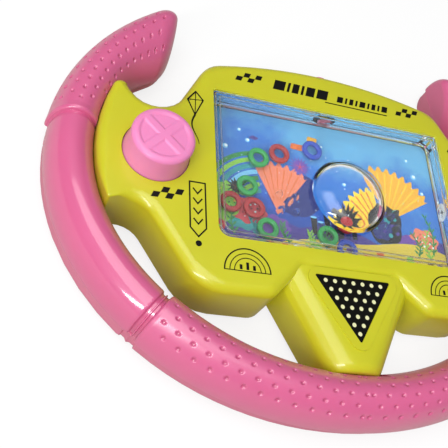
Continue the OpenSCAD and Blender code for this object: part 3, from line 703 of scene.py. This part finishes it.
def cap_piece(name, side, body):
    steps = 120
    rings = []
    flat = BUTTON_R - BUTTON_EDGE
    for r in np.linspace(0.02, flat, 44):
        rings.append([(float(r), None)] * steps)
    for a in range(9, 91, 9):
        turn = math.radians(a)
        rings.append([(flat + BUTTON_EDGE * math.sin(turn),
                       BUTTON_TOP - CAP_CROWN - BUTTON_EDGE * (1 - math.cos(turn)))] * steps)
    for r, z in ((BUTTON_R, FACE_Z + 2.6), (BUTTON_FOOT, FACE_Z + 0.4), (BUTTON_FOOT, FLANGE_Z + FLANGE_T),
                 (BUTTON_FOOT + FLANGE_W, FLANGE_Z + FLANGE_T), (BUTTON_FOOT + FLANGE_W, FLANGE_Z),
                 (0.02, FLANGE_Z)):
        rings.append([(r, z)] * steps)
    points = []
    for ring in rings:
        for k, (r, z) in enumerate(ring):
            turn = 2 * math.pi * k / steps
            x, y = r * math.cos(turn), r * math.sin(turn)
            points.append((side * -BUTTON_C[0] + x, BUTTON_C[1] + y, cap_height(x, y) if z is None else z))
    faces = grid_faces(len(rings), steps, close=True)
    faces.append(tuple(range(steps)))
    faces.append(tuple((len(rings) - 1) * steps + k for k in range(steps - 1, -1, -1)))
    faces = [f[::-1] for f in faces]
    cap = mesh_piece(name, points, faces, [light_pink], body)
    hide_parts(body)
    split_edges(cap, 50)


cap_piece("button_cap_left", -1, "button_left")
cap_piece("button_cap_right", 1, "button_right")


# Bellows: soft folds in place of each bulb

FOLD_STEPS = 12


def bellows_piece(name, side, node):
    steps = 72
    low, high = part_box(node)
    low_z, high_z = low[2] * 1000, high[2] * 1000
    rings = [(0.02, low_z)]
    total = FOLDS * FOLD_STEPS
    for k in range(total + 1):
        fold = 0.5 - 0.5 * math.cos(2 * math.pi * k / FOLD_STEPS)
        rings.append((BULB_R - FOLD_DEEP + FOLD_DEEP * fold, low_z + (high_z - low_z) * k / total))
    rings.append((0.02, high_z))
    points = []
    for r, z in rings:
        for i in range(steps):
            turn = 2 * math.pi * i / steps
            points.append((side * -BUTTON_C[0] + r * math.cos(turn), BUTTON_C[1] + r * math.sin(turn), z))
    faces = grid_faces(len(rings), steps, close=True)
    faces.append(tuple(range(steps - 1, -1, -1)))
    faces.append(tuple((len(rings) - 1) * steps + i for i in range(steps)))
    folds = mesh_piece(name, points, faces, [bellows], "base")
    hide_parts(node)
    split_edges(folds, 50)
    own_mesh(folds)


bellows_piece("bellows_left", -1, "bulb_left")
bellows_piece("bellows_right", 1, "bulb_right")


# Water: its surface under the tank's front and inside the dome, which bends the view of what lies below

def water_sheet():
    steps = 96
    rings = []
    for k in range(0, 25):
        a = math.radians(90.0 - 90.0 * k / 24)
        r = (DOME_R - WATER_GAP) * math.cos(a) ** 0.6 if k else 0.02
        rings.append((r, TANK_TOP - WATER_GAP + DOME_H * math.sin(a) ** 0.8))
    points = []
    for r, z in rings:
        for i in range(steps):
            turn = 2 * math.pi * i / steps
            points.append((DOME_X + r * math.cos(turn), DOME_Y + r * math.sin(turn), z))
    half_w = WINDOW_W / 2 - 0.5
    half_h = WINDOW_H / 2 - 0.5
    for i in range(steps):
        turn = 2 * math.pi * i / steps
        dx, dy = math.cos(turn), math.sin(turn)
        reach_x = ((half_w if dx > 0 else -half_w) - DOME_X) / dx if abs(dx) > 1e-6 else 1e9
        reach_y = ((half_h if dy > 0 else -half_h) - WINDOW_Y - DOME_Y) / dy if abs(dy) > 1e-6 else 1e9
        reach = min(reach_x, reach_y)
        points.append((DOME_X + dx * reach, DOME_Y + dy * reach, TANK_TOP - WATER_GAP))
    faces = [f[::-1] for f in grid_faces(len(rings) + 1, steps, close=True)]
    faces.append(tuple(range(steps)))
    sheet = mesh_piece("water_top", points, faces, [water_body], "base")
    split_edges(sheet, 40)


def floor_sheet():
    """Upper face of the tank's clear back."""
    half_w = WINDOW_W / 2
    middle = -WINDOW_Y
    half_h = WINDOW_H / 2
    points = [(-half_w, middle - half_h, TANK_FLOOR), (half_w, middle - half_h, TANK_FLOOR),
              (half_w, middle + half_h, TANK_FLOOR), (-half_w, middle + half_h, TANK_FLOOR)]
    sheet = mesh_piece("tank_back_face", points, [(0, 1, 2, 3)], [clear_back], "base")
    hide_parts("tank_back")


# Each peg's place from the middle of its cluster, and its height as a share of the highest
PEGS = ((0, 0, 1), (-2.9, 2.9, 0.8), (2.9, 2.6, 0.8), (-2.6, -3, 0.72), (3, -3.1, 0.72))


def peg_piece(name, side, node):
    """Clear pegs with pointed tops, open at the foot where they are one with the tank's back."""
    steps = 32
    points = []
    faces = []
    for dx, dy, share in PEGS:
        x = DOME_X + PEG_SHIFT + side * PEG_X + dx
        y = -PEG_Y + dy
        top = TANK_FLOOR + PEG_H * share
        base = len(points)
        profile = ((PEG_R, TANK_FLOOR + 0.02), (PEG_R, top - 2 * PEG_R), (PEG_TIP, top - 0.12), (0.02, top))
        for r, z in profile:
            points += [(px, py, z) for px, py in circle(x, y, r, steps)]
        grid = grid_faces(len(profile), steps, close=True)
        faces += [tuple(base + i for i in f) for f in grid]
    pegs = mesh_piece(name, points, faces, [clear_peg], "base")
    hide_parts(node)
    split_edges(pegs, 30)


def bead(inset):
    """Low moulded bead along the edge of the tank's front."""
    half_w = WINDOW_W / 2 - TANK_GAP - inset
    half_h = WINDOW_H / 2 - TANK_GAP - inset
    corners = ((1, 1, UPPER_CORNER, 0), (-1, 1, UPPER_CORNER, 90),
               (-1, -1, LOWER_CORNER, 180), (1, -1, LOWER_CORNER, 270))
    loops = []
    for grow, z in ((0.3, 0.01), (0.16, 0.3), (-0.16, 0.3), (-0.3, 0.01)):
        loop = []
        for cx, cy, r, start in corners:
            r = max(0.35, r - 0.3 * inset) + grow
            middle_x = cx * (half_w + grow - r)
            middle_y = cy * (half_h + grow - r) - WINDOW_Y
            for px, py in arc(middle_x, middle_y, r, start, start + 90, 8):
                loop.append((px, py, FRONT_Z + z))
        loops.append(loop)
    steps = len(loops[0])
    rows = loops + loops[:1]
    return [p for loop in rows for p in loop], [f[::-1] for f in grid_faces(len(rows), steps, close=True)]


water_sheet()
floor_sheet()
peg_piece("pegs_left", -1, "peg_cluster_left")
peg_piece("pegs_right", 1, "peg_cluster_right")
for bead_name, bead_inset in (("tank_bead_outer", 0.7), ("tank_bead_inner", 2.2)):
    bead_points, bead_faces = bead(bead_inset)
    mesh_piece(bead_name, bead_points, bead_faces, [clear_front], "base")


# Print on the casing

print_low = FACE_Z - 0.01
print_high = FACE_Z + 0.035
marks = Plates()


def both(make):
    """Draws on the left side and mirrors on the right side."""
    make(-1)
    make(1)


def chequers(x, y):
    wide, tall, lean = 2.25, 2.0, 0.9
    for col, row in ((0, 0), (1, 1), (2, 0), (3, 1)):
        left = x + (col - 2) * wide + row * lean
        low = y + (row - 1) * tall
        right = left + wide
        marks.add([(left, low), (right, low), (right + lean, low + tall), (left + lean, low + tall)],
                  print_low, print_high)


chequers(-33.0, 36.0)
chequers(33.0, 36.0)
chequers(-63.2, -17.0)
chequers(63.2, -17.0)


def pennant_row(x0, x1, y, tall, gaps, slant=0.3):
    """Slanted bars of changing width."""
    x = x0
    i = 0
    while x < x1:
        wide = gaps[i % len(gaps)]
        marks.add([(x, y), (x + wide, y), (x + wide + tall * slant, y + tall), (x + tall * slant, y + tall)],
                  print_low, print_high)
        x += wide + 1.0
        i += 1


pennant_row(-23.0, -1.0, 33.6, 4.4, (4.4, 1.0, 2.6, 1.0, 3.4))
pennant_row(3.0, 23.5, 33.9, 2.8, (2.4, 0.8, 1.6, 0.8))
marks.stroke([(-2.0, 32.6), (24.5, 32.6)], 0.45, print_low, print_high)


def side_marks(side):
    # kite with a long tail
    cx, cy = side * 52.4, 20.0
    kite = [(cx, cy + 4.8), (cx + side * 2.9, cy + 1.0),
            (cx + side * 0.4, cy - 5.0), (cx - side * 2.6, cy + 1.6)]
    marks.stroke(kite, 0.5, print_low, print_high, closed=True)
    marks.stroke([kite[0], kite[2]], 0.3, print_low, print_high)
    marks.stroke([kite[1], kite[3]], 0.3, print_low, print_high)
    tail = [(cx + side * (0.4 + 1.2 * math.sin(k / 2.4)), cy - 5.0 - k * 1.05) for k in range(12)]
    marks.stroke(tail, [0.7 - 0.045 * k for k in range(12)], print_low, print_high)
    # column of chevrons in a frame
    cx = side * 52.6
    frame_line = [(cx - 2.6, -11.4), (cx + 2.6, -11.4), (cx + 2.6, -27.6), (cx, -30.6), (cx - 2.6, -27.6)]
    marks.stroke(frame_line, 0.5, print_low, print_high, closed=True)
    for k in range(4):
        top = -13.6 - 3.6 * k
        marks.stroke([(cx - 1.5, top), (cx, top - 1.9), (cx + 1.5, top)], 0.5, print_low, print_high)
    marks.add(circle(cx, -32.9, 1.0), print_low, print_high)
    # nested arches over upright bars
    cx, cy = side * 37.0, -40.2
    for r, w in ((7.6, 0.45), (5.9, 0.3), (4.4, 0.3)):
        marks.stroke(arc(cx, cy, r, 0, 180, 24), w, print_low, print_high)
    marks.stroke([(cx - 7.8, cy), (cx + 7.8, cy)], 0.3, print_low, print_high)
    for d in (-2.2, 0.0, 2.2):
        marks.stroke([(cx + d, cy + 0.5), (cx + d, cy + 3.0 - 0.4 * abs(d))], 0.9, print_low, print_high)


both(side_marks)
marks.piece("casing_print", [black_ink], "base")

# Pale dots on the black spoke panel
DOT_ROWS = 7
DOT_R = 0.72
DOT_STEP = (3.35, 2.85)
dots = Plates()
for row in range(DOT_ROWS):
    count = DOT_ROWS - row
    for k in range(count):
        x = (k - (count - 1) / 2) * DOT_STEP[0]
        y = PANEL_TOP - 1.7 - row * DOT_STEP[1]
        dots.add(circle(x, y, DOT_R, 18), SPOKE_Z + 0.39, SPOKE_Z + 0.43)
dots.piece("panel_dots", [cream_ink], "base")


# Picture behind the tank: a made-up reef of simple forms in flat layers. In its lists x grows to the left.

inks = {
    "sand": srgb(238, 206, 60), "sand_light": srgb(246, 226, 110), "sand_shade": srgb(214, 168, 48),
    "orange": srgb(232, 110, 36), "amber": srgb(246, 174, 34), "gold": srgb(248, 204, 44),
    "black": srgb(8, 8, 14), "deep": srgb(26, 40, 116), "purple": srgb(112, 66, 160),
    "violet": srgb(70, 50, 140), "rose": srgb(208, 62, 72), "coral": srgb(240, 130, 96),
    "leaf": srgb(44, 140, 60), "lime": srgb(140, 200, 60), "teal": srgb(40, 150, 150),
    "white": srgb(236, 244, 250), "sky": srgb(126, 198, 234), "brown": srgb(128, 72, 34),
}
ink_names = list(inks)
reef_inks = [ink("print_" + n, inks[n], rough=0.5, speck=0.1) for n in ink_names]
# Each form lies a little higher than the one drawn before it
PRINT_SINK = 0.02
LAYER_STEP = 0.0012
reef = Plates()
reef.top = CARD_Z + SHEET_T


def turned_over(line):
    return [(-x, y) for x, y in line]


def draw(outline, tone, rise=True):
    if rise:
        reef.top += LAYER_STEP
    reef.add(turned_over(outline), CARD_Z + PRINT_SINK, reef.top, ink_names.index(tone))


def draw_line(line, width, tone):
    reef.top += LAYER_STEP
    reef.stroke(turned_over(line), width, CARD_Z + PRINT_SINK, reef.top, ink_names.index(tone))


def blob(x, y, rx, ry, wobble, lobes, turn=0.0, steps=56):
    out = []
    for i in range(steps):
        a = 2 * math.pi * i / steps
        r = 1 + wobble * math.sin(lobes * a + turn)
        out.append((x + rx * r * math.cos(a), y + ry * r * math.sin(a)))
    return out


def fan_coral(x, y, r, a0, a1, tone, rib, ribs=9, edge=0.07):
    """Fan on a short foot, with a scalloped edge and ribs."""
    out = [(x, y)]
    steps = 60
    for i in range(steps + 1):
        a = math.radians(a0 + (a1 - a0) * i / steps)
        q = r * (1 + edge * math.sin(ribs * math.pi * 2 * i / steps))
        out.append((x + q * math.cos(a), y + q * math.sin(a)))
    draw(out, tone)
    for k in range(1, ribs):
        a = math.radians(a0 + (a1 - a0) * k / ribs)
        start = (x + 0.25 * r * math.cos(a), y + 0.25 * r * math.sin(a))
        stop = (x + 0.93 * r * math.cos(a), y + 0.93 * r * math.sin(a))
        draw_line([start, stop], [0.25, 0.6], rib)


def weed(x, y, tall, tone, lean=0.0, leaves=6, wide=1.4):
    """Sea plant: a swaying stem with pairs of leaves."""
    stem = []
    for k in range(leaves * 2 + 1):
        s = k / (leaves * 2)
        stem.append((x + lean * s * s * tall + 0.8 * math.sin(5 * s + x), y + tall * s))
    draw_line(stem, [0.8 - 0.5 * k / len(stem) for k in range(len(stem))], tone)
    for k in range(1, leaves * 2, 2):
        px, py = stem[k]
        size = wide * (1 - 0.5 * k / len(stem))
        for side in (-1, 1):
            draw([(px, py - 0.3), (px + side * size, py + 0.5), (px + side * size * 1.5, py + 1.7),
                  (px + side * size * 0.6, py + 1.2)], tone, rise=False)


def tube_sponge(x, y, tall, wide, tone, mouth):
    draw([(x - wide * 0.7, y), (x + wide * 0.7, y), (x + wide, y + tall), (x - wide, y + tall)], tone)
    draw(circle(x, y + tall, wide, 24, squeeze=0.35), mouth)


def bubble(x, y, r):
    draw(circle(x, y, r, 20), "sky")
    draw(circle(x - 0.2 * r, y + 0.2 * r, 0.6 * r, 16), "white")


def star(x, y, r, turn, tone):
    out = []
    for k in range(10):
        a = math.radians(turn + 36 * k)
        q = r if k % 2 == 0 else 0.45 * r
        out.append((x + q * math.cos(a), y + q * math.sin(a)))
    draw(out, tone)


def scatter(x, y, rx, ry, count, size, tones):
    """Small spots strewn evenly over an oval, each a golden angle on from the last."""
    golden = 2.399963
    for k in range(count):
        a = golden * k
        q = math.sqrt((k + 0.5) / count)
        spot = size * (0.7 + 0.6 * ((k * 7) % 5) / 4)
        spot_at = circle(x + rx * q * math.cos(a), y + ry * q * math.sin(a), spot, 12)
        draw(spot_at, tones[k % len(tones)], rise=k == 0)


def urchin(x, y, r, spikes, tone, hatch):
    """Spiked form with five short strokes from its middle."""
    out = []
    for k in range(2 * spikes):
        a = math.pi * k / spikes
        q = r * (1.0 + 0.14 * math.sin(3.1 * k)) if k % 2 == 0 else 0.5 * r
        out.append((x + q * math.cos(a), y + q * math.sin(a)))
    draw(out, tone)
    for k in range(5):
        a = 2 * math.pi * (k + 0.3) / 5
        stop = (x + 0.4 * r * math.cos(a), y + 0.4 * r * math.sin(a))
        draw_line([(x, y), stop], [0.35, 0.15], hatch)


CARD_MARGIN = 2.4
card_w = WINDOW_W + CARD_MARGIN
card_h = WINDOW_H + CARD_MARGIN
ground = [(-card_w / 2, -card_h / 2 - WINDOW_Y)]
for i in range(41):
    s = i / 40
    ground.append((-card_w / 2 + card_w * s, -20.4 + 3.0 * math.sin(5.2 * s + 0.4) + 1.2 * math.sin(13 * s)))
ground.append((card_w / 2, -card_h / 2 - WINDOW_Y))
far_reef = [(-card_w / 2, -24.0)]
for i in range(61):
    s = i / 60
    bump_h = 3.6 * abs(math.sin(9.0 * s + 0.6)) + 3.0 * abs(math.sin(4.1 * s + 1.9))
    far_reef.append((-card_w / 2 + card_w * s, -19.5 + bump_h))
far_reef.append((card_w / 2, -24.0))
draw(far_reef, "violet")
for x, y, rx, ry, tone in ((-38, -15, 6, 5.5, "coral"), (-30, -17, 5, 4, "purple"), (33, -15, 7, 5, "teal"),
                           (22, -17, 6, 4, "purple"), (43, -16, 4, 6, "rose")):
    draw(blob(x, y, rx, ry, 0.1, 7, x), tone)
draw(ground, "sand")
for x, y, rx, ry, tone in ((-30, -27, 15, 2.4, "sand_light"), (4, -26, 12, 2.0, "sand_light"),
                           (32, -27, 13, 2.2, "sand_shade"), (-12, -24.5, 7, 1.0, "sand_shade")):
    draw(blob(x, y, rx, ry, 0.04, 3, x, 40), tone)
fan_coral(-23.0, -9.0, 23.0, 62, 150, "amber", "gold", 10, 0.05)
fan_coral(-19.0, -12.0, 15.0, 20, 84, "gold", "orange", 6, 0.06)
draw(blob(-22.0, -9.5, 7.6, 8.6, 0.06, 5, 0.7), "black")
draw(blob(-20.6, -11.0, 4.6, 5.4, 0.08, 6, 1.2), "deep")
for k in range(7):
    tall = 7.0 + 2.2 * math.sin(1.9 * k + 1)
    tube_sponge(-9.0 + 2.6 * k, -18.0, tall, 1.25, "deep" if k % 2 else "black", "sky")
draw(blob(13.0, -3.0, 11.0, 9.0, 0.03, 6, 0.2), "deep")
fan_coral(20.0, -12.0, 20.0, 66, 128, "coral", "orange", 7, 0.05)
for k in range(7):
    draw_line(arc(25.0, -11.0, 7.0 + 2.5 * k, 26, 82, 18), 1.7, ("teal", "lime", "leaf", "sky")[k % 4])
draw(blob(31.0, -12.5, 6.5, 5.0, 0.08, 8, 0.3), "rose")
draw(blob(40.0, -10.0, 5.5, 7.5, 0.09, 7, 0.9), "lime")
for x, y, tall, tone, lean in ((-42, -20, 17, "leaf", 0.1), (-39, -22, 12, "lime", -0.1),
                               (-35.5, -21, 9, "leaf", 0.2), (2.5, -23, 7, "leaf", 0.1),
                               (9, -24, 6.5, "lime", -0.2), (17.5, -23, 7.5, "leaf", 0.2),
                               (29, -22, 8, "teal", 0.1), (37, -22, 12, "leaf", -0.1),
                               (43, -22, 16, "lime", -0.1)):
    weed(x, y, tall, tone, lean)
for x, y, r, turn, tone in ((-12.5, -24.5, 2.0, 10, "rose"), (-33.0, -25.0, 1.8, 40, "coral"),
                            (24.0, -24.5, 2.2, 25, "orange")):
    star(x, y, r, turn, tone)
for x, y, r in ((-38.5, 13, 1.1), (-41, 6, 0.8), (-36.5, 20, 0.7), (1, 9, 0.8), (3.4, 14, 1.1),
                (0.4, 19, 0.6), (30, 16, 0.9), (33, 20, 0.7), (38.5, 12, 1.0), (-6.5, 3, 0.7)):
    bubble(x, y, r)
for x, y, size, tone in ((4, 21.5, 2.2, "amber"), (10.5, 17.0, 2.8, "orange"), (27.5, 17.5, 1.6, "violet")):
    draw(blob(x, y, size, size * 0.5, 0.14, 4, x), tone)
urchin(-7.0, -9.0, 5.6, 15, "black", "deep")
urchin(-1.5, -17.0, 3.4, 12, "black", "violet")
urchin(10.0, 8.5, 4.6, 17, "purple", "rose")
urchin(35.0, -4.0, 4.0, 14, "black", "brown")
scatter(-22.0, -9.5, 6.2, 7.2, 14, 0.7, ("violet", "teal"))
for k in range(22):
    x = -43.0 + 4.1 * k
    y = -26.6 + 1.6 * math.sin(2.3 * k) + (0.8 if k % 3 else 2.6)
    size = 0.8 + 0.5 * abs(math.sin(1.7 * k))
    tone = ("purple", "rose", "white", "lime", "brown", "teal", "orange", "deep", "black")[(k * 4) % 9]
    draw(blob(x, y, 1.3 * size, size, 0.08, 5, k, 24), tone)
scatter(-38, -15, 4.6, 4.0, 16, 0.32, ("white", "rose"))
scatter(31.0, -12.5, 4.8, 3.6, 18, 0.34, ("white", "black"))
scatter(40.0, -10.0, 4.2, 6.0, 20, 0.34, ("leaf", "gold"))
scatter(0.0, 6.0, 40.0, 15.0, 60, 0.16, ("sky", "white"))

water = Plates()
half_w = card_w / 2
y_low = -card_h / 2 - WINDOW_Y
y_high = card_h / 2 - WINDOW_Y
water.add([(-half_w, y_low), (half_w, y_low), (half_w, y_high), (-half_w, y_high)], CARD_Z, CARD_Z + SHEET_T)
sheet = water.piece("picture_water", [water_print("print_water")], "base", "picture")
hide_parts("picture_card")
reef.piece("picture_reef", reef_inks, "base", "picture")


# Stage, lamps and camera

CAMERA_AT = (-0.117526, -0.130030 + ORIGIN_Y / 1000, 0.200928)
CAMERA_RIGHT = (0.9328484, -0.0386039, 0.3581950)
CAMERA_DOWN = (0.1390475, -0.8786274, -0.4568147)
CAMERA_AHEAD = (0.3323547, 0.4759449, -0.8142584)
CAMERA_LENS = 57.33
FLOOR_SIZE = 6.0
FLOOR_Z = -0.0002
WORLD_LIGHT = 0.34


def stage():
    """White floor: bright for the camera, duller where light bounces off it or is mirrored."""
    bpy.ops.mesh.primitive_plane_add(size=FLOOR_SIZE, location=(0.0, 0.0, FLOOR_Z))
    floor = bpy.context.active_object
    floor.name = "floor"
    material, tree, shader = new_material("floor_white")
    shader.inputs["Roughness"].default_value = 0.9
    glow = tree.nodes.new("ShaderNodeEmission")
    glow.inputs["Strength"].default_value = 1.0
    path = tree.nodes.new("ShaderNodeLightPath")
    bounce = tree.nodes.new("ShaderNodeMix")
    bounce.data_type = "RGBA"
    bounce.inputs["A"].default_value = (0.95, 0.95, 0.95, 1.0)
    bounce.inputs["B"].default_value = (0.5, 0.45, 0.4, 1.0)
    bounced = combine(tree, "MAXIMUM", path.outputs["Is Diffuse Ray"], path.outputs["Is Glossy Ray"])
    tree.links.new(bounced, bounce.inputs["Factor"])
    tree.links.new(bounce.outputs["Result"], shader.inputs["Base Color"])
    seen = combine(tree, "MAXIMUM", path.outputs["Is Camera Ray"], path.outputs["Is Transmission Ray"])
    mirrored = combine(tree, "MULTIPLY", path.outputs["Is Glossy Ray"], 0.1)
    share = combine(tree, "MULTIPLY", combine(tree, "MAXIMUM", seen, mirrored), 0.8)
    mix = tree.nodes.new("ShaderNodeMixShader")
    tree.links.new(share, mix.inputs["Fac"])
    tree.links.new(shader.outputs["BSDF"], mix.inputs[1])
    tree.links.new(glow.outputs["Emission"], mix.inputs[2])
    tree.links.new(mix.outputs["Shader"], tree.nodes["Material Output"].inputs["Surface"])
    floor.data.materials.append(material)


def lamp(name, place, size, power, tall=None, along=(0.0, 0.0, 1.0)):
    """Area lamp that faces the wheel; its long side follows the direction along."""
    light = bpy.data.lights.new(name, "AREA")
    light.shape = "RECTANGLE" if tall else "SQUARE"
    light.size = size
    if tall:
        light.size_y = tall
    light.energy = power
    holder = bpy.data.objects.new(name, light)
    back = Vector(place).normalized()
    side = Vector(along).cross(back).normalized()
    turn = Matrix((side, back.cross(side), back)).transposed().to_4x4()
    holder.matrix_world = Matrix.Translation(place) @ turn
    bpy.context.scene.collection.objects.link(holder)


def world_light(strength):
    """Even white light all round: full for the camera, weaker as light, weakest in mirror images."""
    world = bpy.data.worlds.new("studio")
    bpy.context.scene.world = world
    world.use_nodes = True
    tree = world.node_tree
    back = tree.nodes["Background"]
    back.inputs["Color"].default_value = (1.0, 1.0, 1.0, 1.0)
    path = tree.nodes.new("ShaderNodeLightPath")
    seen = combine(tree, "MAXIMUM", path.outputs["Is Camera Ray"], path.outputs["Is Transmission Ray"])
    plain = combine(tree, "MULTIPLY_ADD", path.outputs["Is Glossy Ray"], -0.55 * strength, strength)
    level = tree.nodes.new("ShaderNodeMapRange")
    tree.links.new(plain, level.inputs["To Min"])
    level.inputs["To Max"].default_value = 1.0
    tree.links.new(seen, level.inputs["Value"])
    tree.links.new(level.outputs["Result"], back.inputs["Strength"])


def camera():
    data = bpy.data.cameras.new("camera")
    data.sensor_width = 36.0
    data.lens = CAMERA_LENS
    data.clip_start = 0.01
    holder = bpy.data.objects.new("camera", data)
    axes = Matrix((Vector(CAMERA_RIGHT), -Vector(CAMERA_DOWN), -Vector(CAMERA_AHEAD)))
    holder.matrix_world = Matrix.Translation(CAMERA_AT) @ axes.transposed().to_4x4()
    bpy.context.scene.collection.objects.link(holder)
    bpy.context.scene.camera = holder


stage()
world_light(WORLD_LIGHT)
lamp("top", (-0.3, -0.05, 1.0), 1.0, 7.4)
lamp("side", (-0.54, -0.575, 0.53), 0.1, 4.6, tall=0.7, along=(0.65, 0.0, 0.76))
camera()
bpy.context.scene.view_settings.view_transform = "Standard"
